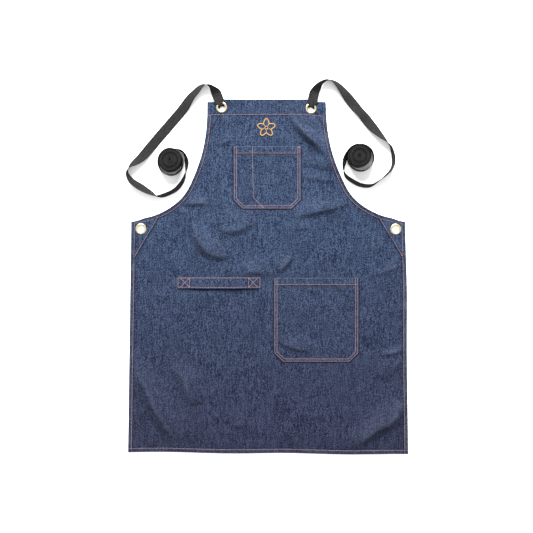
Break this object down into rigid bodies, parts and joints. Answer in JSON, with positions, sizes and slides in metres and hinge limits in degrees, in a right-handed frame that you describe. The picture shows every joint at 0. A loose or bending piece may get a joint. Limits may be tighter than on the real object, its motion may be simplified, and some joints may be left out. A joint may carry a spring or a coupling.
{
  "type": "bib apron",
  "caption": "Denim bib apron laid flat, with bib and hip pockets, a towel loop, metal eyelets and long webbing cross-back straps rolled up beside the bib.",
  "frame": {"origin": "the middle of the panel's underside, on the surface that the apron lies on", "axes": "+Z out of the apron's front, +Y from the skirt's hem towards the bib, +X to the right seen from the front"},
  "size_m": [0.7034, 0.9353, 0.0251],
  "materials": {
    "denim": "indigo twill, washed",
    "thread": "copper-pink topstitching thread",
    "webbing": "charcoal herringbone cotton webbing",
    "eyelet_metal": "pale polished brass",
    "embroidery": "amber satin-stitch embroidery"
  },
  "bodies": {
    "root": {"apron_panel": "denim", "armhole_thread_left": "thread", "armhole_thread_right": "thread", "bib_eyelet_left": "eyelet_metal", "bib_eyelet_right": "eyelet_metal", "bib_pocket": "denim", "bib_pocket_hem_thread": "thread", "bib_pocket_inner_thread": "thread", "bib_pocket_outer_thread": "thread", "bib_washer_left": "eyelet_metal", "bib_washer_right": "eyelet_metal", "bottom_hem_thread": "thread", "embroidered_flower": "embroidery", "hip_pocket": "denim", "hip_pocket_hem_thread": "thread", "hip_pocket_inner_thread": "thread", "hip_pocket_outer_thread": "thread", "patch_thread_left": "thread", "patch_thread_right": "thread", "pencil_slot_thread": "thread", "side_hem_thread_left": "thread", "side_hem_thread_right": "thread", "top_hem_thread": "thread", "towel_loop": "denim", "towel_loop_thread_left": "thread", "towel_loop_thread_lower": "thread", "towel_loop_thread_right": "thread", "towel_loop_thread_upper": "thread", "waist_eyelet_left": "eyelet_metal", "waist_eyelet_right": "eyelet_metal", "waist_patch_left": "denim", "waist_patch_right": "denim", "waist_washer_left": "eyelet_metal", "waist_washer_right": "eyelet_metal"},
    "strap_left": {"strap_left_join_thread": "thread", "strap_left_roll": "webbing", "strap_left_run": "webbing"},
    "strap_right": {"strap_right_join_thread": "thread", "strap_right_roll": "webbing", "strap_right_run": "webbing"}
  },
  "joints": [
    {"name": "strap_left_swivel", "type": "hinge", "parent": "root", "child": "strap_left", "pos_m": [-0.116, 0.4222, 0], "axis": [0, 0, 1], "range_deg": [-45, 2]},
    {"name": "strap_right_swivel", "type": "hinge", "parent": "root", "child": "strap_right", "pos_m": [0.107, 0.42, 0], "axis": [0, 0, 1], "range_deg": [-1, 40]}
  ]
}
